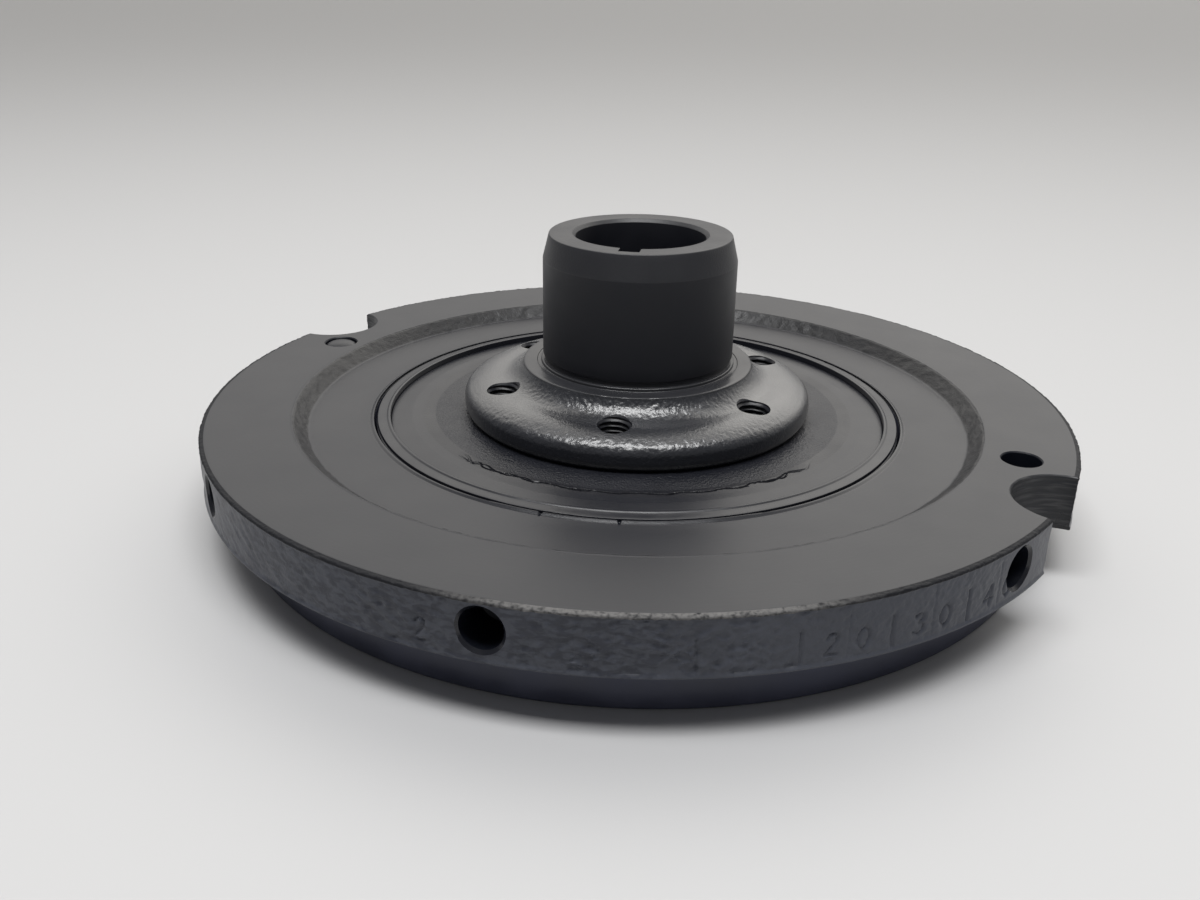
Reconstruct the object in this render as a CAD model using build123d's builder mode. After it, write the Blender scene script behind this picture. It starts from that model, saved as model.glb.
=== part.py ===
from build123d import *
from math import radians, tan
import os

# Harmonic balancer of a car engine: a keyed steel hub that carries a cast disc, a rubber ring round the
# disc, and a heavy cast-iron inertia ring that the rubber lets swing against the crankshaft's twist.
#
# Frame: Z is the crankshaft's axis and points at the engine. Z = 0 is the face that the part rests on.
# The keyway is at -Y. Millimetres and degrees; angles are counted from +X, seen from the engine.

os.makedirs("parts", exist_ok=True)

# ---------------------------------------------------------------- driving dimensions

# Inertia ring: a thick rim on a narrower foot
rim_diameter = 216.0
rim_height = 13.0
rim_overhang = 8.0  # the rim beyond the foot
foot_height = 12.5
face_width = 22.0  # the rim's flat top face
slope_run = 3.3  # cast slope from the top face down to the sunken floor
recess_depth = 3.0
rim_top_round = 0.8
rim_under_round = 1.5
slope_round = 0.8
foot_edge_round = 1.0
bore_lip_height = 0.5  # the floor turns up towards the rubber
bore_lip_run = 1.1
bore_lip_crest = 0.15
seam_width = 0.35  # open seam between the lip and the rubber
seam_depth = 0.9

# V nicks filed across the lip, one on each side of the keyway
nick_width = 1.2
nick_depth = 0.8
nick_angles = (-99.0, -84.6)

# Half-round notches in the rim, on opposite sides
notch_radius = 12.2
notch_angles = (-23.1, 156.7)

# Blind holes in the rim's top face: one open, one with the timing pin
face_hole_diameter = 9.0
face_hole_depth = 12.0
open_hole_angle = -13.9
open_hole_inset = 12.9  # from the rim's outer wall
pin_hole_angle = 164.5
pin_hole_inset = 14.0

# Balance drillings in the rim's outer wall
balance_hole_diameter = 8.8
balance_hole_chamfer = 0.5
balance_hole_depth = 11.0
balance_hole_drop = 6.2  # below the top face
balance_hole_angles = (-142.2, -96.6, -36.6)
drill_point_angle = 118.0

# Timing pin
pin_fit = 0.01
pin_proud = 0.3
pin_dome_height = 1.8

# Disc between the hub and the rubber
disc_diameter = 125.6
disc_thickness = 16.5
disc_edge_chamfer = 0.4
land_margin = 5.3  # from the disc's edge in to the turned land that the hub's flange sits on
land_height = 0.25

# Rubber ring
rubber_thickness = 3.6
rubber_proud = 0.8
rubber_setback = 0.5  # the rubber ends above the disc's lower edge
rubber_bevel_run = 1.0
rubber_bevel_drop = 0.3
rubber_edge_round = 0.25

# Hub
bore_diameter = 32.0
bore_chamfer = 0.85
key_width = 5.0
key_depth = 4.0
journal_diameter = 48.0
journal_length = 25.6  # up to the lead taper
lead_length = 6.0
lead_drop = 1.5
journal_end_round = 0.3
relief_width = 1.0  # grinding relief at the journal's foot
relief_depth = 0.5
collar_overhang = 0.45  # the collar beyond the journal
collar_height = 0.6
collar_groove_width = 1.0
collar_groove_depth = 0.3
boss_diameter = 57.8
boss_height = 4.2  # above the flange at the tapped holes
boss_wall_slope = 62.0
boss_blend = 7.0  # fillet from the flange's face up to the boss's wall
boss_edge_round = 0.35
flange_margin = 4.6  # metal outside the tapped holes
flange_thickness = 8.8  # at the tapped holes
flange_fall = 12.0  # forging draft: the flange's face falls outward
flange_top_round = 4.6
flange_foot_round = 3.0
spigot_diameter = 60.0
spigot_fit = 0.01
pilot_step = 1.0  # the pulley's pilot is turned smaller than the spigot that the disc is pressed on
pilot_length = 4.0
pilot_chamfer = 0.5
washer_recess_diameter = 44.0
washer_recess_depth = 6.0

# Pulley bolts: tapped in the flange, clear in the disc
bolt_count = 6
bolt_margin = 1.0  # metal between the spigot and the disc's bolt holes
bolt_thread_diameter = 8.0
bolt_thread_pitch = 1.25
bolt_mouth_chamfer = 0.3
bolt_mouth_drop = 0.6  # puts the whole mouth below the falling face
bolt_clearance = 1.0

# ---------------------------------------------------------------- derived sizes

key_angle = -90.0
ring_height = foot_height + rim_height
floor_level = ring_height - recess_depth
disc_bottom = floor_level - disc_thickness
pilot_bottom = disc_bottom - pilot_length
flange_level = floor_level + flange_thickness
boss_level = flange_level + boss_height
collar_level = boss_level + collar_height
lead_level = collar_level + journal_length
hub_top = lead_level + lead_length

rim_radius = rim_diameter / 2
foot_radius = rim_radius - rim_overhang
face_inner_radius = rim_radius - face_width
recess_radius = face_inner_radius - slope_run
disc_radius = disc_diameter / 2
ring_bore_radius = disc_radius + rubber_thickness
lip_crest_radius = ring_bore_radius + seam_width + bore_lip_crest
face_hole_radius = face_hole_diameter / 2
open_hole_place = Vector(rim_radius - open_hole_inset, 0, 0).rotate(Axis.Z, open_hole_angle)
pin_hole_place = Vector(rim_radius - pin_hole_inset, 0, 0).rotate(Axis.Z, pin_hole_angle)
face_hole_level = ring_height - face_hole_depth
land_radius = disc_radius - land_margin
journal_radius = journal_diameter / 2
boss_radius = boss_diameter / 2
spigot_radius = spigot_diameter / 2
pilot_radius = spigot_radius - pilot_step
bore_radius = bore_diameter / 2
bolt_hole_radius = (bolt_thread_diameter + bolt_clearance) / 2
bolt_circle_radius = spigot_radius + bolt_margin + bolt_hole_radius
flange_radius = bolt_circle_radius + bolt_thread_diameter / 2 + flange_margin
balance_hole_radius = balance_hole_diameter / 2
drill_point_length = balance_hole_radius / tan(radians(drill_point_angle / 2))


def circles(part, radius, level):
    """The part's circular edges of this radius at this height."""
    return part.edges().filter_by(GeomType.CIRCLE).filter_by(
        lambda edge: abs(edge.radius - radius) < 1e-4 and abs(edge.arc_center.Z - level) < 1e-4
    )


# ---------------------------------------------------------------- inertia ring

with BuildPart() as inertia_ring:
    with BuildSketch(Plane.XZ):
        with BuildLine():
            Polyline(
                (ring_bore_radius, 0),
                (foot_radius, 0),
                (foot_radius, foot_height),
                (rim_radius, foot_height),
                (rim_radius, ring_height),
                (face_inner_radius, ring_height),
                (recess_radius, floor_level),
                (lip_crest_radius + bore_lip_run, floor_level),
                (lip_crest_radius, floor_level + bore_lip_height),
                (ring_bore_radius + seam_width, floor_level + bore_lip_height),
                (ring_bore_radius, floor_level + bore_lip_height - seam_depth),
                close=True,
            )
        make_face()
    revolve(axis=Axis.Z)
    fillet(circles(inertia_ring, rim_radius, ring_height), radius=rim_top_round)
    fillet(circles(inertia_ring, rim_radius, foot_height), radius=rim_under_round)
    foot_edges = circles(inertia_ring, foot_radius, 0) + circles(inertia_ring, foot_radius, foot_height)
    fillet(foot_edges, radius=foot_edge_round)
    slope_edges = circles(inertia_ring, recess_radius, floor_level) + circles(
        inertia_ring, face_inner_radius, ring_height
    )
    fillet(slope_edges, radius=slope_round)

    # the notches go through the rim and stop on the foot
    for angle in notch_angles:
        with BuildSketch(Plane.XY.offset(foot_height)):
            with PolarLocations(rim_radius, 1, start_angle=angle):
                Circle(notch_radius)
        extrude(amount=rim_height, mode=Mode.SUBTRACT)

    # the two holes in the top face
    with BuildSketch(Plane.XY.offset(ring_height)):
        with Locations(open_hole_place, pin_hole_place):
            Circle(face_hole_radius)
    extrude(amount=-face_hole_depth, mode=Mode.SUBTRACT)

    # the nicks run out through the lip's slope
    for angle in nick_angles:
        outward = Vector(1, 0, 0).rotate(Axis.Z, angle)
        lip_foot = outward * ring_bore_radius + Vector(0, 0, floor_level + bore_lip_height)
        with BuildSketch(Plane(lip_foot, x_dir=outward.rotate(Axis.Z, 90), z_dir=outward)):
            with BuildLine():
                Polyline((-nick_width / 2, 0), (0, -nick_depth), (nick_width / 2, 0), close=True)
            make_face()
        extrude(amount=seam_width + bore_lip_crest + bore_lip_run, mode=Mode.SUBTRACT)

    # the balance drillings, each with a countersunk mouth and the drill's point
    for angle in balance_hole_angles:
        outward = Vector(1, 0, 0).rotate(Axis.Z, angle)
        mouth = Plane(
            origin=outward * rim_radius + Vector(0, 0, ring_height - balance_hole_drop),
            z_dir=outward,
        )
        with Locations(mouth.location):
            CounterSinkHole(
                radius=balance_hole_radius,
                counter_sink_radius=balance_hole_radius + balance_hole_chamfer,
                depth=balance_hole_depth,
                counter_sink_angle=90,
            )
        with Locations(mouth.offset(-balance_hole_depth).location):
            Cone(
                bottom_radius=0,
                top_radius=balance_hole_radius,
                height=drill_point_length,
                align=(Align.CENTER, Align.CENTER, Align.MAX),
                mode=Mode.SUBTRACT,
            )

inertia_ring.part.label = "inertia_ring"

# ---------------------------------------------------------------- rubber ring

with BuildPart() as rubber_ring:
    rubber_top = floor_level + rubber_proud
    rubber_bottom = disc_bottom + rubber_setback
    with BuildSketch(Plane.XZ) as rubber_section:
        with BuildLine():
            Polyline(
                (disc_radius, rubber_bottom),
                (ring_bore_radius, rubber_bottom),
                (ring_bore_radius, rubber_top - rubber_bevel_drop),
                (ring_bore_radius - rubber_bevel_run, rubber_top),
                (disc_radius, rubber_top),
                close=True,
            )
        make_face()
        inner_top = rubber_section.vertices().group_by(Axis.Y)[-1].sort_by(Axis.X)[0]
        fillet(inner_top, radius=rubber_edge_round)
    revolve(axis=Axis.Z)

rubber_ring.part.label = "rubber_ring"

# ---------------------------------------------------------------- disc

with BuildPart() as carrier_disc:
    with BuildSketch(Plane.XZ):
        with BuildLine():
            Polyline(
                (spigot_radius + spigot_fit, disc_bottom),
                (disc_radius, disc_bottom),
                (disc_radius, floor_level - land_height),
                (land_radius + land_height, floor_level - land_height),
                (land_radius, floor_level),
                (spigot_radius + spigot_fit, floor_level),
                close=True,
            )
        make_face()
    revolve(axis=Axis.Z)
    disc_edges = circles(carrier_disc, disc_radius, floor_level - land_height) + circles(
        carrier_disc, disc_radius, disc_bottom
    )
    chamfer(disc_edges, length=disc_edge_chamfer)
    with BuildSketch(Plane.XY.offset(disc_bottom)):
        with PolarLocations(bolt_circle_radius, bolt_count, start_angle=key_angle):
            Circle(bolt_hole_radius)
    extrude(amount=disc_thickness, mode=Mode.SUBTRACT)

carrier_disc.part.label = "carrier_disc"

# ---------------------------------------------------------------- hub

with BuildPart() as hub:
    collar_radius = journal_radius + collar_overhang
    groove_radius = collar_radius + collar_groove_width
    relief_radius = journal_radius - relief_depth
    fall = tan(radians(flange_fall))
    flange_edge_level = flange_level - (flange_radius - bolt_circle_radius) * fall
    # where the boss's wall, drawn straight, would meet the flange's falling face
    boss_foot_drop = boss_height - (bolt_circle_radius - boss_radius) * fall
    boss_foot_radius = boss_radius + boss_foot_drop / (tan(radians(boss_wall_slope)) - fall)
    boss_foot_level = flange_level + (bolt_circle_radius - boss_foot_radius) * fall
    with BuildSketch(Plane.XZ):
        with BuildLine():
            Polyline(
                (0, pilot_bottom),
                (pilot_radius - pilot_chamfer, pilot_bottom),
                (pilot_radius, pilot_bottom + pilot_chamfer),
                (pilot_radius, disc_bottom),
                (spigot_radius, disc_bottom),
                (spigot_radius, floor_level),
                (flange_radius, floor_level),
                (flange_radius, flange_edge_level),
                (boss_foot_radius, boss_foot_level),
                (boss_radius, boss_level),
                (groove_radius, boss_level),
                (groove_radius, boss_level - collar_groove_depth),
                (collar_radius, boss_level - collar_groove_depth),
                (collar_radius, collar_level),
                (relief_radius, collar_level),
                (relief_radius, collar_level + relief_width),
                (journal_radius, collar_level + relief_width + relief_depth),
                (journal_radius, lead_level),
                (journal_radius - lead_drop, hub_top),
                (0, hub_top),
                close=True,
            )
        make_face()
    revolve(axis=Axis.Z)
    fillet(circles(hub, boss_foot_radius, boss_foot_level), radius=boss_blend)
    fillet(circles(hub, boss_radius, boss_level), radius=boss_edge_round)
    fillet(circles(hub, flange_radius, flange_edge_level), radius=flange_top_round)
    fillet(circles(hub, flange_radius, floor_level), radius=flange_foot_round)
    fillet(circles(hub, journal_radius - lead_drop, hub_top), radius=journal_end_round)

    # keyed bore, open to the recess that takes the crankshaft bolt's washer
    with BuildSketch(Plane.XY.offset(pilot_bottom)):
        Circle(bore_radius)
    extrude(amount=hub_top - pilot_bottom, mode=Mode.SUBTRACT)
    chamfer(circles(hub, bore_radius, hub_top), length=bore_chamfer)
    with BuildSketch(Plane.XY.offset(pilot_bottom)):
        Circle(washer_recess_diameter / 2)
    extrude(amount=washer_recess_depth, mode=Mode.SUBTRACT)
    with BuildSketch(Plane.XY.offset(hub_top).rotated((0, 0, key_angle))):
        Rectangle(bore_radius + key_depth, key_width, align=(Align.MIN, Align.CENTER))
    extrude(amount=pilot_bottom - hub_top, mode=Mode.SUBTRACT)

    # the pulley bolts' tapped holes, at core size
    thread_core_radius = (bolt_thread_diameter - bolt_thread_pitch) / 2
    mouth_plane = Plane.XY.offset(flange_level - bolt_mouth_drop)
    with Locations(mouth_plane.location):
        with PolarLocations(bolt_circle_radius, bolt_count, start_angle=key_angle):
            CounterSinkHole(
                radius=thread_core_radius,
                counter_sink_radius=bolt_thread_diameter / 2 + bolt_mouth_chamfer,
                depth=flange_thickness,
                counter_sink_angle=90,
            )

hub.part.label = "hub"

# ---------------------------------------------------------------- timing pin

with BuildPart() as timing_pin:
    pin_radius = face_hole_radius - pin_fit
    pin_shoulder = ring_height + pin_proud - pin_dome_height
    with BuildSketch(Plane.XY.offset(face_hole_level)):
        with Locations(pin_hole_place):
            Circle(pin_radius)
    extrude(amount=pin_shoulder - face_hole_level)
    dome_radius = (pin_radius**2 + pin_dome_height**2) / (2 * pin_dome_height)
    with Locations(pin_hole_place + Vector(0, 0, ring_height + pin_proud - dome_radius)):
        dome = Sphere(dome_radius, mode=Mode.PRIVATE)
    add(split(dome, bisect_by=Plane.XY.offset(pin_shoulder), keep=Keep.TOP, mode=Mode.PRIVATE))

timing_pin.part.label = "timing_pin"

# ---------------------------------------------------------------- files

export_step(inertia_ring.part, "parts/inertia_ring.step")
export_step(rubber_ring.part, "parts/rubber_ring.step")
export_step(carrier_disc.part, "parts/carrier_disc.step")
export_step(hub.part, "parts/hub.step")
export_step(timing_pin.part, "parts/timing_pin.step")
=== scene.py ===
import bpy
import math
import numpy as np
from mathutils import Matrix, Vector


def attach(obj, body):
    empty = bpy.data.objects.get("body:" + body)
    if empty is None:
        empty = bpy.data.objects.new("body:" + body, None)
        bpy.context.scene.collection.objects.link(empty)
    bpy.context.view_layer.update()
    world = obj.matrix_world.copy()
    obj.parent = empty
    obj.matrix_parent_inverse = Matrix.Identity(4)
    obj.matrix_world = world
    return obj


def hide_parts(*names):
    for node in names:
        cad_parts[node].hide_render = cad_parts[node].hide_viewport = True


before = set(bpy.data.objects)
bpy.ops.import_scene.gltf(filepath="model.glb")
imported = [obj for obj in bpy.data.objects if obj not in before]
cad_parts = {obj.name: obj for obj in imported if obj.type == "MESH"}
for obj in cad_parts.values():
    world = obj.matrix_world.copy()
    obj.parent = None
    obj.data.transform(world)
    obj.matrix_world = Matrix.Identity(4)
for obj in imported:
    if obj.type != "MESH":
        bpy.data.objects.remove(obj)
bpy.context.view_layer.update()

MM = 0.001
TAU = 2 * math.pi

# ------------------------------------------------------------ sizes
# Millimetres and degrees, as the CAD nodes have them. Tops, feet and levels are heights above the ground, and
# the other sizes are radii where nothing else is said.

RIM = 108.0
RING_TOP = 25.5
FOOT = 100.0
FOOT_TOP = 12.5
FACE_IN = 86.0  # inner edge of the rim's flat face
RECESS = 82.7  # outer edge of the sunken floor
FLOOR = 22.5  # level of the sunken floor
RING_BORE = 66.4

# The lip that the sunken floor turns up to, and the open seam between it and the rubber
LIP_TOP = 23.0
LIP_CREST = 67.0
LIP_RUN = 1.1  # how far out from the crest the slope reaches
SEAM = 0.45  # width of the seam
SEAM_DEPTH = 1.1

# Places on the ring: angle, and for the holes in the face also how far in from the rim's wall
FACE_HOLE = 4.5
FACE_HOLE_FOOT = 13.5
OPEN_HOLE_PLACE = (-13.9, 12.9)
PIN_HOLE_PLACE = (164.5, 14.0)
BALANCE_HOLE = 4.4
BALANCE_DEPTH = 11.0  # to where the drill's cone begins
DRILL_POINT = 2.64  # length of the drill's cone
BALANCE_LEVEL = RING_TOP - 6.2
BALANCE_ANGLES = (-142.2, -96.6, -36.6)
NOTCH = 12.2
NOTCH_ANGLES = (-23.1, 156.7)
NICK_ANGLES = (-99.0, -84.6)

DISC = 62.8
DISC_FOOT = 6.0
LAND = 57.5
LAND_DROP = 0.5  # how far the disc's face falls outside the land
CLEARANCE_HOLE = 4.5
RUBBER_TOP = 23.3
RUBBER_FOOT = 6.5

FLANGE = 44.1
BOSS = 28.9
BOSS_TOP = 35.5
COLLAR = 24.45
COLLAR_TOP = 36.1
JOURNAL = 24.0
LEAD = 61.7  # level where the lead taper starts
LEAD_DROP = 1.5  # how much smaller the radius is at the top
HUB_TOP = 67.7
BORE = 16.0
BORE_CHAMFER = 0.85
SPIGOT = 30.0
PILOT = 29.0
PILOT_FOOT = 2.0
WASHER = 22.0
WASHER_DEPTH = 6.0
KEY_ANGLE = -90.0
KEY_WIDTH = 5.0
KEY_REACH = 20.0  # from the axis to the keyway's floor

# The flange's face: a hollow blend from the boss, a slow swell over the bolt holes and a tight roll at the
# edge, as the radii that round its corners
HOLLOW = 6.1
SWELL = 13.2
ROLL = 3.2
FACE_CORNERS = [(FLANGE, 28.63), (39.5, 31.17), (30.65, 31.48)]

BOLT_COUNT = 6
BOLT_CIRCLE = 35.5
CORE = 3.375  # inside the thread
THREAD = 4.0  # outside it
PITCH = 1.25

PIN = 4.49
PIN_SHOULDER = 24.0
PIN_DOME = 1.8  # height of the dome

# Faces that meet at more degrees than this have a hard line between them
SHARP = 32.0

# The noise's lattice is turned away from the axes, so that its cells don't line up with the faces
LATTICE = np.array(Matrix.Rotation(0.6, 3, "X") @ Matrix.Rotation(0.5, 3, "Y") @ Matrix.Rotation(0.7, 3, "Z"))

# ------------------------------------------------------------ noise and steps


def noise(points, size, seed):
    """Smooth lattice noise from -1 to 1 at points in millimetres; size is one cell of the lattice."""
    cell = np.asarray(points, float) @ LATTICE / size
    base = np.floor(cell).astype(np.int64)
    part = cell - base
    part = part**3 * (part * (part * 6 - 15) + 10)
    total = np.zeros(cell.shape[:-1])
    for corner in np.ndindex(2, 2, 2):
        i = base + corner
        h = (i[..., 0] * 73856093) ^ (i[..., 1] * 19349663) ^ (i[..., 2] * 83492791) ^ (seed * 9973)
        h = ((h ^ (h >> 13)) * 1274126177) & 0xFFFFFFFF
        h = ((h ^ (h >> 15)) * 668265263) & 0xFFFFFFFF
        value = ((h >> 9) & 0xFFFF) / 32767.5 - 1
        weight = np.prod(np.where(corner, part, 1 - part), axis=-1)
        total += value * weight
    return total


def stretched_noise(across, up, width, height, seed):
    """Noise on a flat sheet, with cells of the given width and height."""
    return noise(np.stack([across / width, up / height, np.zeros_like(across)], axis=-1), 1.0, seed)


def smooth(value, low, high):
    """0 below low, 1 above high and a soft step between."""
    t = np.clip((value - low) / (high - low), 0, 1)
    return t * t * (3 - 2 * t)


def bell(value, middle, width, power=2):
    """1 at middle and falling to 0 on both sides; a higher power has a flatter top."""
    return np.exp(-(((value - middle) / width) ** power))


def spot(r, z, theta):
    """The points at radius r, height z and angle theta."""
    return np.stack([r * np.cos(theta), r * np.sin(theta), z], axis=-1)


def in_degrees(theta):
    """Angles in degrees from -180 to 180."""
    return (np.degrees(theta) + 180) % 360 - 180


# ------------------------------------------------------------ mesh tools


def rounded(corner, before, after, rounding, step):
    """The points of the arc that rounds a corner; before and after point from it to its neighbours."""
    if rounding <= 0:
        return [corner]
    half = before.angle(after) / 2
    reach = rounding / math.tan(half)
    centre = corner + (before + after).normalized() * (rounding / math.sin(half))
    spoke = corner + before * reach - centre
    turn = math.pi - 2 * half
    pieces = max(2, math.ceil(rounding * turn / min(step, 0.45 * rounding)))
    side = 1 if before.x * after.y - before.y * after.x < 0 else -1
    arc = []
    for n in range(pieces):
        angle = side * turn * n / pieces
        cosine = math.cos(angle)
        sine = math.sin(angle)
        arc.append(centre + Vector((spoke.x * cosine - spoke.y * sine, spoke.x * sine + spoke.y * cosine)))
    arc.append(corner + after * reach)
    return arc


def outline(corners):
    """Points and tags round a closed section.

    Each corner is (r, z, rounding, step, tag). The step and the tag are those of the run that starts there.
    """
    count = len(corners)
    arcs = []
    for k, (r, z, rounding, step, tag) in enumerate(corners):
        here = Vector((r, z))
        before = (Vector(corners[k - 1][:2]) - here).normalized()
        after = (Vector(corners[(k + 1) % count][:2]) - here).normalized()
        arcs.append(rounded(here, before, after, rounding, min(step, corners[k - 1][3])))
    points = []
    tags = []
    for k, (r, z, rounding, step, tag) in enumerate(corners):
        start = arcs[k][-1]
        finish = arcs[(k + 1) % count][0]
        pieces = max(1, math.ceil((finish - start).length / step))
        points += arcs[k]
        points += [start.lerp(finish, n / pieces) for n in range(1, pieces)]
        tags += [tag] * (len(arcs[k]) + pieces - 1)
    return np.array([p[:] for p in points]), tags


def spread(*spans):
    """Angles round the part in radians, from spans of (first degree, last degree, step in degrees)."""
    angles = []
    for first, last, step in spans:
        pieces = math.ceil((last - first) / step)
        angles += [math.radians(first + (last - first) * n / pieces) for n in range(pieces)]
    return np.array(angles)


def finer(angles, *spans):
    """How many parts each gap is split in: 1, or what a span of (first degree, last degree, parts) says."""
    degrees = np.degrees(angles)
    parts = np.ones(len(angles), int)
    for first, last, count in spans:
        parts[(degrees >= first - 0.01) & (degrees < last - 0.01)] = count
    return parts


def shade_smooth(mesh):
    """Smooth shading, with hard lines where faces meet at a clear angle."""
    mesh.polygons.foreach_set("use_smooth", [True] * len(mesh.polygons))
    mesh.set_sharp_from_angle(angle=math.radians(SHARP))


def make_object(name, vertices, faces, tags, materials):
    """An object from vertices in millimetres; each face's tag is the number of its material."""
    mesh = bpy.data.meshes.new(name)
    mesh.from_pydata((np.asarray(vertices) * MM).tolist(), [], faces)
    mesh.polygons.foreach_set("material_index", tags)
    for material in materials:
        mesh.materials.append(material)
    mesh.update()
    shade_smooth(mesh)
    made = bpy.data.objects.new(name, mesh)
    bpy.context.scene.collection.objects.link(made)
    return made


def fan(a, b):
    """Triangles between two rows of points that have different counts."""
    triangles = []
    i = 0
    j = 0
    while i < len(a) - 1 or j < len(b) - 1:
        if j == len(b) - 1 or (i < len(a) - 1 and (i + 1) / (len(a) - 1) <= (j + 1) / (len(b) - 1)):
            triangles.append((a[i], a[i + 1], b[j]))
            i += 1
        else:
            triangles.append((a[i], b[j + 1], b[j]))
            j += 1
    return triangles


def lathe(section, tags, angles, shape, bands=None):
    """A section turned about Z, as vertices, faces and face tags.

    shape gives each point's lift along its normal. bands gives, for the tags of the rows that are finer, how
    many parts each gap between the angles is split in.
    """
    rows = len(section)
    gaps = len(angles)
    following = np.append(angles[1:], angles[0] + TAU)
    along = np.roll(section, -1, axis=0) - np.roll(section, 1, axis=0)
    normal = np.stack([along[:, 1], -along[:, 0]], axis=1)
    normal /= np.linalg.norm(normal, axis=1)[:, None]
    plain = np.ones(gaps, int)
    vertices = []
    starts = []
    total = 0
    for i in range(rows):
        counts = (bands or {}).get(tags[i], plain)
        theta = np.concatenate(
            [angles[j] + (following[j] - angles[j]) * np.arange(counts[j]) / counts[j] for j in range(gaps)]
        )
        r = np.full(len(theta), section[i, 0])
        z = np.full(len(theta), section[i, 1])
        lift = shape(r, z, theta)
        r = r + lift * normal[i, 0]
        z = z + lift * normal[i, 1]
        vertices.append(spot(r, z, theta))
        starts.append((total, np.append(0, np.cumsum(counts))))
        total += len(theta)
    faces = []
    face_tags = []
    for i in range(rows):
        low, low_ends = starts[i]
        high, high_ends = starts[(i + 1) % rows]
        for j in range(gaps):
            a = [low + k % low_ends[-1] for k in range(low_ends[j], low_ends[j + 1] + 1)]
            b = [high + k % high_ends[-1] for k in range(high_ends[j], high_ends[j + 1] + 1)]
            if len(a) == len(b):
                strip = [(a[k], a[k + 1], b[k + 1], b[k]) for k in range(len(a) - 1)]
            else:
                strip = fan(a, b)
            faces += strip
            face_tags += [tags[i]] * len(strip)
    return np.concatenate(vertices), faces, face_tags


def placed(vertices, place):
    """The vertices moved by a matrix, as an array."""
    return np.array([(place @ Vector(v))[:] for v in vertices])


def plug(profile, sides, place, tag, ripple=None):
    """A closed turned solid, put at its place.

    The profile runs up its own Z, and starts and ends at radius 0. Ripple, where given, says each radius.
    """
    profile = np.asarray(profile, float)
    angles = np.arange(sides) / sides * TAU
    vertices = [(0, 0, profile[0][1])]
    for radius, height in profile[1:-1]:
        for angle in angles:
            grown = radius if ripple is None else ripple(radius, height, angle)
            vertices.append((grown * math.cos(angle), grown * math.sin(angle), height))
    vertices.append((0, 0, profile[-1][1]))
    faces = [(0, 1 + (j + 1) % sides, 1 + j) for j in range(sides)]
    for i in range(len(profile) - 3):
        a = 1 + i * sides
        b = a + sides
        faces += [(a + j, a + (j + 1) % sides, b + (j + 1) % sides, b + j) for j in range(sides)]
    last = len(vertices) - 1
    a = last - sides
    faces += [(last, a + j, a + (j + 1) % sides) for j in range(sides)]
    return placed(vertices, place), faces, [tag] * len(faces)


def prism(corners, start, finish, place, tag):
    """A closed prism, put at its place: corners in its own XY plane, from height start to finish."""
    count = len(corners)
    vertices = [(x, y, start) for x, y in corners] + [(x, y, finish) for x, y in corners]
    faces = [tuple(reversed(range(count))), tuple(range(count, 2 * count))]
    faces += [(j, (j + 1) % count, count + (j + 1) % count, count + j) for j in range(count)]
    return placed(vertices, place), faces, [tag] * len(faces)


def together(solids):
    """Several solids as one set of vertices, faces and face tags."""
    vertices = []
    faces = []
    tags = []
    first = 0
    for more_vertices, more_faces, more_tags in solids:
        vertices.append(more_vertices)
        faces += [tuple(i + first for i in face) for face in more_faces]
        tags += more_tags
        first += len(more_vertices)
    return np.concatenate(vertices), faces, tags


def cut(piece, cutters):
    """Takes the cutters out of the piece, and keeps the result as the piece's own mesh."""
    tool = make_object(piece.name + "_cutter", *together(cutters), list(piece.data.materials))
    modifier = piece.modifiers.new("cut", "BOOLEAN")
    modifier.operation = "DIFFERENCE"
    modifier.solver = "EXACT"
    modifier.object = tool
    modifier.use_self = False
    bpy.context.view_layer.update()
    result = bpy.data.meshes.new_from_object(piece.evaluated_get(bpy.context.evaluated_depsgraph_get()))
    piece.modifiers.clear()
    piece.data = result
    result.name = piece.name
    bpy.data.objects.remove(tool)
    shade_smooth(result)


def turned(degrees):
    """A turn about the crankshaft's axis."""
    return Matrix.Rotation(math.radians(degrees), 4, "Z")


def bolt_places():
    """The matrices of the six bolt holes, the first at the keyway."""
    return [
        turned(KEY_ANGLE + 360 / BOLT_COUNT * index) @ Matrix.Translation((BOLT_CIRCLE, 0, 0))
        for index in range(BOLT_COUNT)
    ]


# ------------------------------------------------------------ shader tools


def object_place(nodes):
    """The point on the surface in the object's own metres."""
    return nodes.new("ShaderNodeTexCoord").outputs["Object"]


def parts_of(nodes, links, place):
    """The X, Y and Z of a point."""
    split = nodes.new("ShaderNodeSeparateXYZ")
    links.new(place, split.inputs[0])
    return split.outputs


def rescaled(nodes, links, place, scale):
    """A point with its X, Y and Z multiplied by scale."""
    stretch = nodes.new("ShaderNodeMapping")
    stretch.inputs["Scale"].default_value = scale
    links.new(place, stretch.inputs["Vector"])
    return stretch.outputs[0]


def clouds(nodes, links, place, scale=1.0, detail=2.0, distortion=0.0):
    """Noise from 0 to 1."""
    texture = nodes.new("ShaderNodeTexNoise")
    texture.inputs["Scale"].default_value = scale
    texture.inputs["Detail"].default_value = detail
    texture.inputs["Distortion"].default_value = distortion
    links.new(place, texture.inputs["Vector"])
    return texture.outputs["Fac"]


def mapped(nodes, links, value, low, high):
    """A soft step from 0 at low to 1 at high."""
    step = nodes.new("ShaderNodeMapRange")
    step.interpolation_type = "SMOOTHSTEP"
    step.inputs["From Min"].default_value = low
    step.inputs["From Max"].default_value = high
    links.new(value, step.inputs["Value"])
    return step.outputs[0]


def combined(nodes, links, operation, first, second):
    """Two numbers put together by a math node."""
    node = nodes.new("ShaderNodeMath")
    node.operation = operation
    links.new(first, node.inputs[0])
    links.new(second, node.inputs[1])
    return node.outputs[0]


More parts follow.
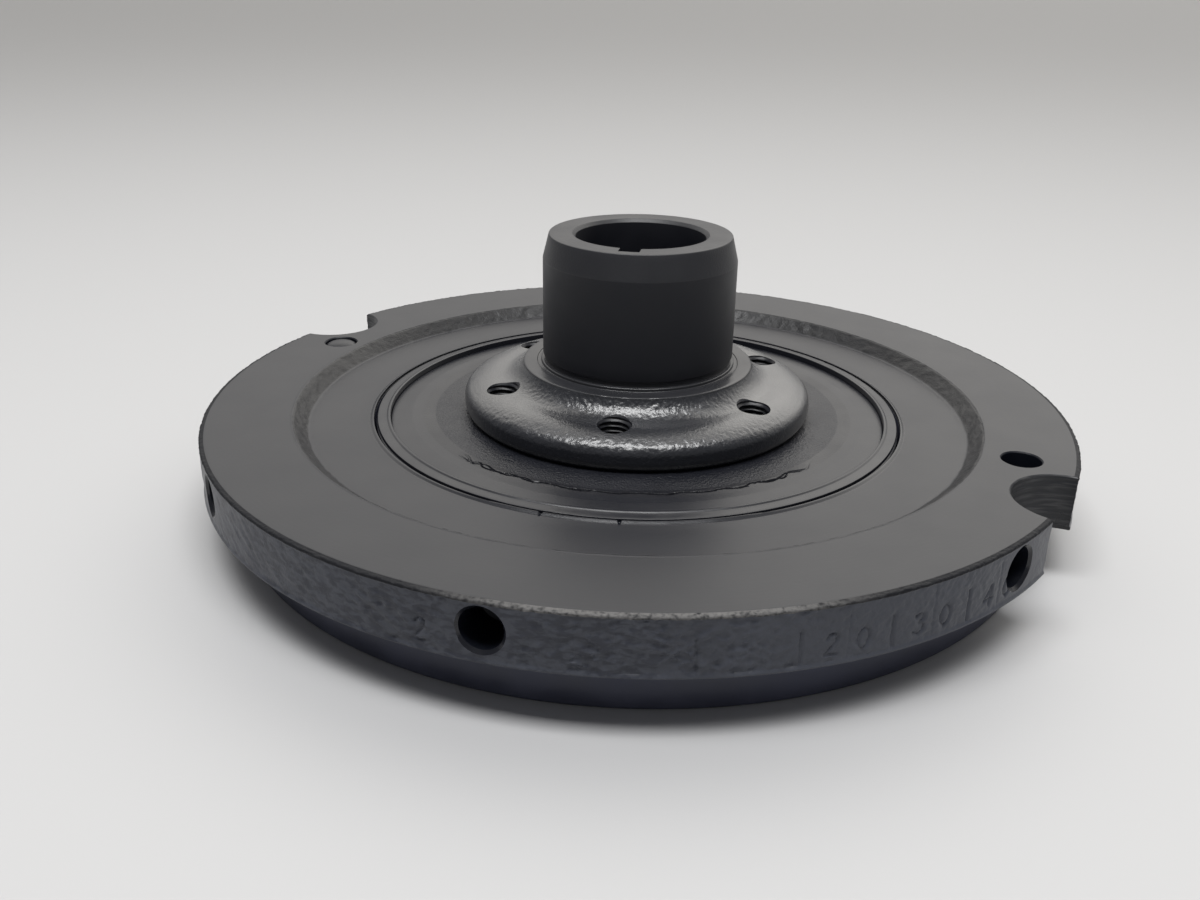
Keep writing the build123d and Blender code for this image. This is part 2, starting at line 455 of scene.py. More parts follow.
def product(nodes, links, *amounts):
    """All the amounts multiplied."""
    result = amounts[0]
    for amount in amounts[1:]:
        result = combined(nodes, links, "MULTIPLY", result, amount)
    return result


def tint(material, color, amount, blend="MIX"):
    """Mixes a colour into the paint where amount is above 0."""
    links = material.node_tree.links
    base = material.node_tree.nodes["Principled BSDF"].inputs["Base Color"]
    tone = material.node_tree.nodes.new("ShaderNodeMix")
    tone.data_type = "RGBA"
    tone.blend_type = blend
    tone.inputs[7].default_value = (*color, 1)
    links.new(amount, tone.inputs[0])
    links.new(base.links[0].from_socket, tone.inputs[6])
    links.new(tone.outputs[2], base)


def roughen(material, height, distance, strength=1.0):
    """Adds a bump of the given distance in millimetres to those that the paint has."""
    links = material.node_tree.links
    normal = material.node_tree.nodes["Principled BSDF"].inputs["Normal"]
    bump = material.node_tree.nodes.new("ShaderNodeBump")
    bump.inputs["Strength"].default_value = strength
    bump.inputs["Distance"].default_value = distance * MM
    links.new(height, bump.inputs["Height"])
    if normal.is_linked:
        links.new(normal.links[0].from_socket, bump.inputs["Normal"])
    links.new(bump.outputs[0], normal)


# ------------------------------------------------------------ materials

BLACK = (0.0085, 0.0093, 0.0135)


def paint(name, color=BLACK, *, roughness, grain=0.6, grain_size=0.5, depth=0.03, mottle=0.2, ior=1.5):
    """Satin paint: a slightly uneven tone and gloss, and a fine grain in its surface.

    grain is the strength of the grain's bump. grain_size and depth are in millimetres. mottle is how far the
    tone and the gloss wander.
    """
    material = bpy.data.materials.new(name)
    material.use_nodes = True
    nodes = material.node_tree.nodes
    links = material.node_tree.links
    shader = nodes["Principled BSDF"]
    shader.inputs["IOR"].default_value = ior
    place = object_place(nodes)
    cloud = clouds(nodes, links, place, 1000 / 14.0, 3.0)
    tone = nodes.new("ShaderNodeMix")
    tone.data_type = "RGBA"
    tone.inputs[6].default_value = (*[c * (1 - mottle) for c in color], 1)
    tone.inputs[7].default_value = (*[c * (1 + 1.3 * mottle) for c in color], 1)
    links.new(cloud, tone.inputs[0])
    links.new(tone.outputs[2], shader.inputs["Base Color"])
    gloss = nodes.new("ShaderNodeMapRange")
    gloss.inputs["From Min"].default_value = 0.3
    gloss.inputs["From Max"].default_value = 0.7
    gloss.inputs["To Min"].default_value = roughness - 0.3 * mottle
    gloss.inputs["To Max"].default_value = roughness + 0.3 * mottle
    links.new(cloud, gloss.inputs["Value"])
    links.new(gloss.outputs[0], shader.inputs["Roughness"])
    roughen(material, clouds(nodes, links, place, 1000 / grain_size), depth, grain)
    return material


def edge_paint_with_painted_highlight(name):
    """The rim's top edge: black, with a frosted grey painted highlight in front, from the keyway to the
    right.
    """
    material = paint(
        name, (0.009, 0.0095, 0.012), roughness=0.55, grain=1.0, grain_size=0.6, depth=0.12, ior=1.28
    )
    nodes = material.node_tree.nodes
    links = material.node_tree.links
    place = object_place(nodes)
    parts = parts_of(nodes, links, place)
    # painted highlight: a frosted grey set by position, in front and right of the keyway, where the edge
    # catches the light
    painted_highlight = product(
        nodes,
        links,
        mapped(nodes, links, parts["X"], -0.03, 0.0),
        mapped(nodes, links, parts["X"], 0.062, 0.036),
        mapped(nodes, links, parts["Y"], -0.06, -0.08),
        mapped(nodes, links, clouds(nodes, links, place, 1000 / 1.1), 0.2, 0.6),
    )
    tint(material, (0.135, 0.132, 0.13), painted_highlight)
    return material


def crumpled_paint(name):
    """The rim's cast wall: painted shade of the crumples in front, which fades out where the scale's numbers
    begin.
    """
    material = paint(
        name, (0.06, 0.0645, 0.079), roughness=0.38, grain=1.0, grain_size=0.6, depth=0.07, ior=1.36
    )
    nodes = material.node_tree.nodes
    links = material.node_tree.links
    place = object_place(nodes)
    parts = parts_of(nodes, links, place)
    sheet = rescaled(nodes, links, place, (1000 / 2.6, 1000 / 2.6, 1000 / 1.15))
    # painted shade: darker patches in front that stand in for the shading of the crumpled skin
    painted_crumple_shade = product(
        nodes,
        links,
        mapped(nodes, links, clouds(nodes, links, sheet, detail=2.5, distortion=0.4), 0.4, 0.62),
        mapped(nodes, links, parts["X"], 0.038, 0.012),
        mapped(nodes, links, parts["Y"], 0.0, -0.05),
    )
    tint(material, (0.6, 0.6, 0.63), painted_crumple_shade, "MULTIPLY")
    return material


def scored_paint(name):
    """The walls of the two rim notches: level scratches from the cutter, dark and light."""
    material = paint(name, (0.009, 0.01, 0.013), roughness=0.4, mottle=0.5)
    nodes = material.node_tree.nodes
    links = material.node_tree.links
    sheet = rescaled(nodes, links, object_place(nodes), (1000 / 6.0, 1000 / 6.0, 1000 / 0.7))
    lines = clouds(nodes, links, sheet)
    tint(material, (0.05, 0.05, 0.053), mapped(nodes, links, lines, 0.42, 0.75))
    roughen(material, lines, 0.25)
    return material


def turned_paint(name, roughness):
    """Paint over a turned face: the grain is drawn out round the axis, as faint rings of tool marks."""
    color = (0.012, 0.0128, 0.017)
    material = paint(name, color, roughness=roughness, grain=0.35, grain_size=0.7, mottle=0.06)
    nodes = material.node_tree.nodes
    links = material.node_tree.links
    parts = parts_of(nodes, links, object_place(nodes))
    flat = nodes.new("ShaderNodeCombineXYZ")
    links.new(parts["X"], flat.inputs["X"])
    links.new(parts["Y"], flat.inputs["Y"])
    radius = nodes.new("ShaderNodeVectorMath")
    radius.operation = "LENGTH"
    links.new(flat.outputs[0], radius.inputs[0])
    polar = nodes.new("ShaderNodeCombineXYZ")
    links.new(radius.outputs["Value"], polar.inputs["X"])
    links.new(combined(nodes, links, "ARCTAN2", parts["Y"], parts["X"]), polar.inputs["Y"])
    sheet = rescaled(nodes, links, polar.outputs[0], (1000 / 0.7, 14.0, 1))
    roughen(material, clouds(nodes, links, sheet, detail=1.0), 0.02, 0.5)
    return material


def lacquer(name):
    """The flange's thick paint: a broad sheen under a glossier coat, which follows the same grain."""
    material = paint(name, (0.0072, 0.0083, 0.0125), roughness=0.45, grain=0.8, grain_size=0.45, depth=0.1)
    shader = material.node_tree.nodes["Principled BSDF"]
    shader.inputs["Coat Weight"].default_value = 1.0
    shader.inputs["Coat Roughness"].default_value = 0.25
    shader.inputs["Coat IOR"].default_value = 1.6
    material.node_tree.links.new(shader.inputs["Normal"].links[0].from_socket, shader.inputs["Coat Normal"])
    return material


# ------------------------------------------------------------ inertia ring: the degree scale

# The numerals' strokes, in their own box of 1 by DIGIT_BOX
DIGIT_BOX = 1.6
DIGITS = {
    "0": [(0.5, 0.0), (0.15, 0.25), (0.0, 0.8), (0.15, 1.35), (0.5, 1.6), (0.85, 1.35), (1.0, 0.8),
          (0.85, 0.25), (0.5, 0.0)],
    "1": [(0.25, 1.3), (0.55, 1.6), (0.55, 0.0)],
    "2": [(0.05, 1.25), (0.25, 1.55), (0.6, 1.6), (0.9, 1.35), (0.85, 1.0), (0.0, 0.0), (1.0, 0.0)],
    "3": [(0.05, 1.4), (0.4, 1.6), (0.8, 1.45), (0.85, 1.1), (0.4, 0.85), (0.9, 0.65), (0.95, 0.25),
          (0.5, 0.0), (0.0, 0.2)],
    "4": [(0.75, 0.0), (0.75, 1.6), (0.0, 0.5), (1.0, 0.5)],
}
DIGIT_WIDTH = 2.5
DIGIT_HEIGHT = 4.4
DIGIT_LEVEL = 17.0  # the middle of the numerals
DIGIT_SLANT = 0.18
DIGIT_LINE = 0.32
DIGIT_GAP = 1.72  # from the mark to the middle of a digit, in degrees

# The marks are numbered from the scale's zero; the numbers stand at every second one
SCALE_ZERO = -81.1
SCALE_STEP = 5.07
LAST_MARK = 8
# Number, mark, and how deep each of its two digits is
NUMBERS = [
    ("10", 2, (0.12, 0.12)),
    ("20", 4, (0.34, 0.34)),
    ("30", 6, (0.36, 0.36)),
    ("40", 8, (0.36, 0.36)),
    ("20", -4, (0.42, 0.12)),
]


def scale_marks():
    """The scale's lines: short deep ones between the numbers, and long faint ones through them."""
    strokes = []
    for mark in range(1, LAST_MARK + 1):
        at = math.radians(SCALE_ZERO + SCALE_STEP * mark) * RIM
        if mark % 2:
            strokes.append(((at, 20.3), (at + 0.15, 13.6), 0.38, 0.34))
        else:
            strokes.append(((at, 23.6), (at, 13.5), 0.11, 0.24))
    return strokes


def scale_numbers():
    """The strokes of the numbers, one digit on each side of its mark."""
    strokes = []
    for number, mark, depths in NUMBERS:
        for digit, depth, side in zip(number, depths, (-1, 1)):
            centre = math.radians(SCALE_ZERO + SCALE_STEP * mark + side * DIGIT_GAP) * RIM
            path = [
                (
                    centre + (x - 0.5) * DIGIT_WIDTH + (y - DIGIT_BOX / 2) * DIGIT_SLANT,
                    DIGIT_LEVEL + (y / DIGIT_BOX - 0.5) * DIGIT_HEIGHT,
                )
                for x, y in DIGITS[digit]
            ]
            strokes += [(a, b, depth, DIGIT_LINE) for a, b in zip(path, path[1:])]
    return strokes


# Each stroke is (start, end, depth, half width), and its ends are (arc length, level)
STROKES = scale_marks() + scale_numbers()


def engraving(arc, z):
    """How deep the scale's strokes are at an arc length and level of the rim's wall."""
    depth = np.zeros_like(arc)
    for (ax, ay), (bx, by), deep, half in STROKES:
        near = (np.abs(arc - (ax + bx) / 2) < 6) & (z > 12) & (z < 25)
        if not near.any():
            continue
        px = arc[near] - ax
        py = z[near] - ay
        dx = bx - ax
        dy = by - ay
        t = np.clip((px * dx + py * dy) / (dx * dx + dy * dy), 0, 1)
        gap = np.hypot(px - t * dx, py - t * dy)
        depth[near] = np.maximum(depth[near], deep * bell(gap, 0, half))
    return depth


# ------------------------------------------------------------ inertia ring: its skin


def wall_skin(place, arc, z):
    """The cast wall: crumpled in front, finely grained right of it and with slanting streaks elsewhere."""
    front = bell(np.degrees(arc / RIM), -75, 42, 4)
    right = smooth(arc / RIM, math.radians(-76), math.radians(-58))
    creased = 0.3 - 1.8 * np.abs(stretched_noise(arc, z, 2.3, 1.5, 5))
    lumps = creased + 0.7 * stretched_noise(arc, z, 1.2, 0.9, 6)
    fine = stretched_noise(arc, z, 0.75, 0.75, 15)
    lumps = (1 - right) * 0.32 * lumps + right * (0.09 * lumps + 0.09 * fine)
    along = 0.78 * arc - 0.62 * z
    across = 0.62 * arc + 0.78 * z
    streaks = stretched_noise(along, across, 3.0, 0.85, 3) + 0.5 * stretched_noise(along, across, 1.8, 0.6, 4)
    patch = 0.6 + 0.4 * smooth(noise(place, 7.0, 14), -0.5, 0.4)
    for angle in BALANCE_ANGLES:
        patch = patch * smooth(np.hypot(arc - math.radians(angle) * RIM, z - BALANCE_LEVEL), 6.0, 8.5)
    lift = -0.3 + 0.06 * noise(place, 6.0, 7) + patch * (front * lumps + 0.1 * (1 - front) * streaks)
    return np.minimum(lift, -0.01) - engraving(arc, z)


def edge_wear(place, r, z):
    """Chips along the rim's top edge."""
    edge = smooth(r, RIM - 1.4, RIM - 0.8) * smooth(z, 24.4, 25.0)
    return -edge * (0.14 + 0.1 * noise(place, 0.8, 8) + 0.07 * noise(place, 0.45, 9))


def slope_grain(place, r, z):
    """The cast slope from the rim's face to the sunken floor."""
    slope = smooth(r, RECESS - 0.8, RECESS + 0.3) * (1 - smooth(r, FACE_IN + 0.1, FACE_IN + 0.8))
    slope = slope * smooth(z, 22.0, 22.4)
    return slope * (-0.1 + 0.1 * noise(place, 1.6, 10) + 0.09 * noise(place, 0.7, 11))


def face_ridge(place, r, z):
    """The thin raised line round the inner edge of the rim's face."""
    ridge = bell(r, FACE_IN + 0.5, 0.19) * smooth(z, 25.3, 25.45)
    return ridge * (0.12 + 0.03 * noise(place, 1.2, 13))


def open_seam(r, z, theta):
    """Away from the front, the lip's inner side has sunk and the seam by the rubber stands open."""
    away = smooth(np.abs(in_degrees(theta) + 84), 22, 36)
    mouth = (1 - smooth(r, LIP_CREST - 0.1, LIP_CREST + 0.1)) * smooth(z, 21.5, 22.0)
    return -0.6 * mouth * away


def ring_shape(r, z, theta):
    """Everything that lifts or lowers the inertia ring's skin."""
    place = spot(r, z, theta)
    arc = ((theta + math.pi) % TAU - math.pi) * RIM
    wall = smooth(r, RIM - 0.5, RIM - 0.1) * smooth(z, 12.9, 13.6) * (1 - smooth(z, 24.4, 25.2))
    lift = wall * wall_skin(place, arc, z)
    lift = lift + edge_wear(place, r, z) + slope_grain(place, r, z)
    return lift + face_ridge(place, r, z) + open_seam(r, z, theta)


# ------------------------------------------------------------ inertia ring: holes, and the ring itself

RING_FACE, RING_WALL, RING_FOOT, RING_HOLES, RING_SLOPE, RING_EDGE, RING_LIP, RING_NOTCH = range(8)


def ring_materials():
    """In the order of the ring's tags."""
    return [
        turned_paint("ring_face", 0.4),
        crumpled_paint("ring_wall"),
        # ring_foot: lighter and bluer than the other paint, as painted light that lifts the shade under the
        # rim
        paint("ring_foot", (0.042, 0.0455, 0.07), roughness=0.42, grain=0.5, grain_size=0.6, mottle=0.45),
        # ring_holes: darker and less reflective than the other paint, as painted shade inside the holes, the
        # seam and the nicks
        paint("ring_holes", (0.007, 0.0085, 0.0135), roughness=0.4, grain=0.5, ior=1.35),
        # ring_slope: darker than the other paint, as painted shade on the step down into the recess
        paint("ring_slope", (0.006, 0.0062, 0.008), roughness=0.45, grain=1.0, grain_size=0.55, depth=0.1),
        edge_paint_with_painted_highlight("ring_edge"),
        paint("ring_lip", roughness=0.24, grain=0.5, grain_size=0.6),
        scored_paint("ring_notch"),
    ]


def face_holes():
    """The blind holes in the rim's face: the open one and the timing pin's."""
    profile = [
        (0, FACE_HOLE_FOOT),
        (FACE_HOLE, FACE_HOLE_FOOT),
        (FACE_HOLE, 25.2),
        (FACE_HOLE + 0.25, RING_TOP),
        (FACE_HOLE + 0.75, RING_TOP + 0.5),
        (0, RING_TOP + 0.5),
    ]
    return [
        plug(profile, 64, turned(angle) @ Matrix.Translation((RIM - inset, 0, 0)), RING_HOLES)
        for angle, inset in (OPEN_HOLE_PLACE, PIN_HOLE_PLACE)
    ]


def balance_places():
    """The matrices of the balance drillings: at the rim's wall, pointing out of it."""
    outward = Matrix.Rotation(math.pi / 2, 4, "Y")
    return [turned(angle) @ Matrix.Translation((RIM, 0, BALANCE_LEVEL)) @ outward for angle in BALANCE_ANGLES]


def balance_holes():
    """The balance drillings, with the cone of the drill's point."""
    tip = -(BALANCE_DEPTH + DRILL_POINT)
    profile = [(0, tip), (BALANCE_HOLE, -BALANCE_DEPTH), (BALANCE_HOLE, 0.6), (0, 0.6)]
    return [plug(profile, 64, at, RING_HOLES) for at in balance_places()]


def balance_bevels():
    """The bevel where each balance drilling comes out of the rim's wall."""
    profile = [(0, -1.3), (4.1, -1.3), (5.3, -0.1), (6.0, 0.6), (0, 0.6)]
    return [plug(profile, 64, at, RING_LIP) for at in balance_places()]


def notches():
    """The half-round notches in the rim, whose walls waver a little as the cutter left them."""
    cutters = []
    heights = np.arange(12.9, 25.1, 0.35)
    for angle in NOTCH_ANGLES:
        line = np.stack([heights, heights * 0, heights * 0 + angle], axis=-1)
        walls = NOTCH + 0.09 * noise(line, 0.9, 12)
        profile = [(0, 12.46), (12.0, 12.46), (12.18, 12.55), (NOTCH, 12.75)]
        profile += list(zip(walls, heights))
        profile += [(NOTCH, 25.2), (12.5, RING_TOP), (13.2, 26.2), (0, 26.2)]
        cutters.append(plug(profile, 128, turned(angle) @ Matrix.Translation((RIM, 0, 0)), RING_NOTCH))
    return cutters


def nicks():
    """The two V nicks filed across the lip."""
    outward = Matrix(((0, 0, 1, 0), (1, 0, 0, 0), (0, 1, 0, 0), (0, 0, 0, 1)))
    corners = [(-0.66, 0.08), (0, -0.8), (0.66, 0.08)]
    return [
        prism(
            corners,
            RING_BORE - 0.4,
            LIP_CREST + LIP_RUN,
            turned(angle) @ Matrix.Translation((0, 0, LIP_TOP)) @ outward,
            RING_HOLES,
        )
        for angle in NICK_ANGLES
    ]


def make_ring():
    """The inertia ring: narrow foot, rim, sloped step to the sunken floor, and the lip at the seam."""
    section, tags = outline(
        [
            (RING_BORE, 0, 0.3, 12.0, RING_FOOT),
            (FOOT, 0, 1.0, 4.0, RING_FOOT),
            (FOOT, FOOT_TOP, 1.0, 3.0, RING_FOOT),
            (RIM, FOOT_TOP, 0.35, 0.3, RING_WALL),
            (RIM, RING_TOP, 0.8, 0.2, RING_EDGE),
            (RIM - 1.3, RING_TOP, 0.0, 0.5, RING_FACE),
            (RIM - 1.8, RING_TOP, 0.0, 6.0, RING_FACE),
            (FACE_IN + 1.5, RING_TOP, 0.0, 0.5, RING_FACE),
            (FACE_IN + 1.0, RING_TOP, 0.0, 0.14, RING_FACE),
            (FACE_IN, RING_TOP, 0.8, 0.45, RING_SLOPE),
            (RECESS, FLOOR, 0.8, 0.6, RING_FACE),
            (RECESS - 1.5, FLOOR, 0.0, 4.0, RING_FACE),
            (LIP_CREST + LIP_RUN - 0.2, FLOOR, 0.3, 0.3, RING_LIP),
            (LIP_CREST, LIP_TOP, 0.2, 0.2, RING_LIP),
            (RING_BORE + SEAM, LIP_TOP, 0.08, 0.5, RING_HOLES),
            (RING_BORE, LIP_TOP - SEAM_DEPTH, 0.0, 12.0, RING_FOOT),
        ]
    )
    # finest where the photograph looks from, and wherever the skin is roughest
    angles = spread((-106, -33, 0.6), (-33, 254, 0.9))
    bands = {
        RING_WALL: finer(angles, (-106, -6, 4), (155, 254, 3)),
        RING_SLOPE: finer(angles, (-33, 230, 2)),
        RING_EDGE: finer(angles, (-106, -33, 4), (-33, 254, 3)),
    }
    ring = make_object("ring_skin", *lathe(section, tags, angles, ring_shape, bands), ring_materials())
    cut(ring, face_holes() + balance_holes() + notches() + nicks())
    cut(ring, balance_bevels())
    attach(ring, "root")
    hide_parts("inertia_ring")


# ------------------------------------------------------------ hub

HUB_FLANGE, HUB_JOURNAL, HUB_BACK, HUB_BORE, HUB_LEAD, HUB_BOSS = range(6)


def hub_materials():
    """In the order of the hub's tags."""
    return [
        lacquer("hub_flange"),
        paint("hub_journal", roughness=0.48, grain=0.5, grain_size=0.4),
        paint("hub_back", roughness=0.42, grain=0.5, grain_size=0.6),
        # hub_bore: darker than the other paint, as painted shade in the bore, the tapped holes and the keyway
        paint("hub_bore", (0.006, 0.0066, 0.0105), roughness=0.45, grain=0.5),
        paint("hub_lead", (0.02, 0.0205, 0.024), roughness=0.45, grain=0.9, depth=0.06),
        paint("hub_boss", (0.026, 0.0265, 0.03), roughness=0.3, grain_size=0.6),
    ]


def hub_shape(r, z, theta):
    """Orange peel on the flange and the blend, strongest in front. The boss and journal stay smooth."""
    place = spot(r, z, theta)
    skin = smooth(z, 22.6, 23.6) * (1 - smooth(z, 35.0, 35.4)) * smooth(r, BOSS - 0.6, BOSS + 0.3)
    round_bolts = smooth(r, 32.0, 34.0) * (1 - smooth(r, 39.5, 42.0))
    on_side = 1 - smooth(z, 26.8, 28.6)
    coarse = (0.85 - 0.6 * round_bolts - 0.6 * on_side) * (0.4 + 0.6 * smooth(-np.sin(theta), 0.4, 0.85))
    peel = coarse * (0.08 * noise(place, 0.75, 21) + 0.05 * noise(place, 0.45, 22))
    return skin * (peel + 0.02 * noise(place, 4.0, 23) - 0.1)


def tapped_holes(section):
    """A screw-shaped cutter at each place of the bolt pattern, bevelled where it leaves the face."""
    face_points = sorted((r, z) for r, z in section if z > 29.5 and r > BOSS)
    radii, levels = zip(*face_points)
    heights = np.arange(FLOOR - 0.2, BOSS_TOP - 1.5, PITCH / 8)
    profile = [(0, heights[0])] + [(CORE, height) for height in heights] + [(0, heights[-1])]

    def threaded(radius, height, angle):
        """The screw's radius: the core, the thread on it, and the bevel where it leaves the face."""
        turn = (height / PITCH - angle / TAU) % 1.0
        crest = np.clip(1.25 - abs(turn - 0.5) * 2 * 1.5, 0, 1)
        from_axis = math.hypot(BOLT_CIRCLE + THREAD * math.cos(angle), THREAD * math.sin(angle))
        above = height - np.interp(from_axis, radii, levels)
        mouth = THREAD + min(0.75 * above + 0.15, 0.6)
        return max(radius + (THREAD - radius) * crest, mouth)

    return [plug(profile, 40, at, HUB_BORE, threaded) for at in bolt_places()]


def keyway():
    """The slot in the bore, open at both ends."""
    half = KEY_WIDTH / 2
    corners = [(0, -half), (KEY_REACH, -half), (KEY_REACH, half), (0, half)]
    return prism(corners, PILOT_FOOT - 1, HUB_TOP + 1, turned(KEY_ANGLE), HUB_BORE)


def make_hub():
    """The hub in one turned piece: pilot, spigot, flange, boss, collar, relief, journal, lead and bore."""
    groove = COLLAR + 1.0
    relief = JOURNAL - 0.5
    section, tags = outline(
        [
            (WASHER, PILOT_FOOT, 0.3, 4.0, HUB_BACK),
            (PILOT, PILOT_FOOT, 0.5, 4.0, HUB_BACK),
            (PILOT, DISC_FOOT, 0.0, 1.0, HUB_BACK),
            (SPIGOT, DISC_FOOT, 0.0, 6.0, HUB_BACK),
            (SPIGOT, FLOOR, 0.0, 4.0, HUB_FLANGE),
            (FLANGE, FLOOR, 3.0, 0.32, HUB_FLANGE),
            (*FACE_CORNERS[0], ROLL, 0.27, HUB_FLANGE),
            (*FACE_CORNERS[1], SWELL, 0.27, HUB_FLANGE),
            (*FACE_CORNERS[2], HOLLOW, 0.27, HUB_FLANGE),
            (BOSS, BOSS_TOP, 0.6, 0.8, HUB_BOSS),
            (groove, BOSS_TOP, 0.15, 0.3, HUB_BOSS),
            (groove, BOSS_TOP - 0.2, 0.1, 0.4, HUB_BOSS),
            (COLLAR, BOSS_TOP - 0.2, 0.15, 0.3, HUB_BOSS),
            (COLLAR, COLLAR_TOP, 0.3, 0.4, HUB_BOSS),
            (relief, COLLAR_TOP, 0.12, 0.6, HUB_JOURNAL),
            (relief, COLLAR_TOP + 1.0, 0.4, 0.4, HUB_JOURNAL),
            (JOURNAL, COLLAR_TOP + 1.5, 0.3, 3.0, HUB_JOURNAL),
            (JOURNAL, LEAD, 1.5, 1.5, HUB_LEAD),
            (JOURNAL - LEAD_DROP, HUB_TOP, 0.3, 1.5, HUB_LEAD),
            (BORE + BORE_CHAMFER, HUB_TOP, 0.15, 0.5, HUB_LEAD),
            (BORE, HUB_TOP - BORE_CHAMFER, 0.1, 10.0, HUB_BORE),
            (BORE, PILOT_FOOT + WASHER_DEPTH, 0.3, 3.0, HUB_BACK),
            (WASHER, PILOT_FOOT + WASHER_DEPTH, 0.3, 3.0, HUB_BACK),
        ]
    )
    angles = spread((-145, -25, 1.3), (-25, 215, 1.6))
    bands = {HUB_FLANGE: finer(angles, (-145, -25, 4), (-25, 215, 2))}
    hub = make_object("hub_skin", *lathe(section, tags, angles, hub_shape, bands), hub_materials())
    cut(hub, tapped_holes(section) + [keyway()])
    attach(hub, "root")
    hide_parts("hub")


# ------------------------------------------------------------ disc

DISC_FACE, DISC_BACK, DISC_SEAM, DISC_OVERSPRAY = range(4)
CRACK = 53.2  # the radius that the cracks wander about


def disc_materials():
    """In the order of the disc's tags."""
    return [
        paint("disc_face", roughness=0.36, mottle=0.08),
        paint("disc_back", roughness=0.42, grain=0.5, grain_size=0.6),
        paint("disc_seam", (0.0075, 0.008, 0.0115), roughness=0.38, grain=1.0, depth=0.05),
        paint("disc_overspray", roughness=0.42, grain=1.0, depth=0.2),
    ]


def cracks(r, arc, line, degrees):
    """Two wandering cracks in the sealer that cross each other in front of the flange."""
    drift = CRACK + 0.45 * noise(line, 9.0, 31)
    apart = 0.35 + 0.4 * smooth(np.abs(degrees + 82), 18, 45)
    first = drift + apart * np.sin(arc / 1.45 + 1.6 * noise(line, 5.0, 32)) + 0.12 * noise(line, 0.7, 38)
    second = drift - apart * np.sin(arc / 1.55 + 1.6 * noise(line, 4.0, 33) + 0.5)
    second = second + 0.12 * noise(line, 0.8, 39)
    broken = smooth(noise(line, 3.0, 34), -0.8, -0.4)
    return np.maximum(bell(r, first, 0.24, 4), broken * bell(r, second, 0.2, 4))


def disc_shape(r, z, theta):
    """Paint piled up round the flange and the crack, dusty overspray, and a ripple where the land ends."""
    place = spot(r, z, theta)
    degrees = in_degrees(theta)
    arc = theta * CRACK
    line = np.stack([arc, arc * 0, arc * 0], axis=-1)
    face = smooth(z, 21.5, 21.9)
    here = smooth(degrees, -134, -122) * (1 - smooth(degrees, -44, -30))
    near = 1 - smooth(r, 46.0, 51.5)
    dusty = near * (0.05 * noise(place, 0.8, 35) + 0.03 * noise(place, 0.5, 36))
    pile = 0.32 * (1 - smooth(r, 44.5, 52.5)) + 0.12 * here * bell(r, CRACK, 1.2)
    ripple = bell(r, LAND, 1.6) * 0.06 * noise(line, 5.0, 37)
    return face * (pile + dusty + ripple - 0.6 * here * cracks(r, arc, line, degrees))


def make_disc():
    """The disc between hub and rubber, with the land that the flange sits on and six clearance holes."""
    section, tags = outline(
        [
            (SPIGOT, DISC_FOOT, 0.0, 12.0, DISC_BACK),
            (DISC, DISC_FOOT, 0.4, 8.0, DISC_BACK),
            (DISC, FLOOR - LAND_DROP, 0.4, 1.2, DISC_FACE),
            (LAND, FLOOR, 2.5, 0.3, DISC_FACE),
            (CRACK + 1.6, FLOOR, 0.0, 0.11, DISC_SEAM),
            (CRACK - 1.6, FLOOR, 0.0, 0.3, DISC_OVERSPRAY),
            (42.0, FLOOR, 0.0, 4.0, DISC_FACE),
            (SPIGOT, FLOOR, 0.0, 8.0, DISC_BACK),
        ]
    )
    angles = spread((-136, -28, 0.9), (-28, 224, 1.0))
    bands = {
        DISC_SEAM: finer(angles, (-136, -28, 6)),
        DISC_OVERSPRAY: finer(angles, (-136, 224, 2)),
    }
    disc = make_object("disc_skin", *lathe(section, tags, angles, disc_shape, bands), disc_materials())
    profile = [(0, 5), (CLEARANCE_HOLE, 5), (CLEARANCE_HOLE, 24), (0, 24)]
    cut(disc, [plug(profile, 48, at, DISC_BACK) for at in bolt_places()])
    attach(disc, "root")
    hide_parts("carrier_disc")


# ------------------------------------------------------------ rubber and pin


def rubber_shape(r, z, theta):
    """The rubber's top waves a little."""
    return smooth(z, 22.4, 22.9) * (-0.03 + 0.025 * noise(spot(r, z, theta), 2.5, 41))


def make_rubber():
    """The rubber ring: its proud band has a bevelled outer edge, and a bead at the inner one."""
    section, tags = outline(
        [
            (DISC, RUBBER_FOOT, 0.3, 4.0, 0),
            (RING_BORE, RUBBER_FOOT, 0.3, 6.0, 0),
            (RING_BORE, RUBBER_TOP - 1.4, 0.0, 0.4, 0),
            (RING_BORE - 0.35, RUBBER_TOP - 1.2, 0.1, 0.4, 0),
            (RING_BORE - 0.35, RUBBER_TOP - 0.4, 0.15, 0.7, 0),
            (DISC + 1.0, RUBBER_TOP - 0.15, 0.2, 0.2, 0),
            (DISC + 0.6, RUBBER_TOP + 0.1, 0.2, 0.2, 0),
            (DISC, RUBBER_TOP + 0.1, 0.25, 3.0, 0),
        ]
    )
    materials = [paint("rubber", roughness=0.3, grain=0.4, grain_size=0.6)]
    angles = spread((-90, 270, 0.6))
    rubber = make_object("rubber_skin", *lathe(section, tags, angles, rubber_shape), materials)
    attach(rubber, "root")
    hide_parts("rubber_ring")


def make_pin():
    """The timing pin with its domed end."""
    angle, inset = PIN_HOLE_PLACE
    dome = [
        (PIN * math.sin(k * math.pi / 18), PIN_SHOULDER + PIN_DOME * math.cos(k * math.pi / 18))
        for k in range(8, 0, -1)
    ]
    profile = [(0, FACE_HOLE_FOOT), (PIN, FACE_HOLE_FOOT), (PIN, PIN_SHOULDER)] + dome
    profile += [(0, PIN_SHOULDER + PIN_DOME)]
    at = turned(angle) @ Matrix.Translation((RIM - inset, 0, 0))
    pin = make_object("pin_skin", *plug(profile, 48, at, 0), [paint("pin", roughness=0.4, grain=0.8)])
    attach(pin, "root")
    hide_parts("timing_pin")


# ------------------------------------------------------------ camera, light and floor


EYE = (36.78, -272.06, 128.87)
HEADING = 99.61
PITCH_DOWN = 23.479
ROLL_RIGHT = 0.902
LENS = 33.891


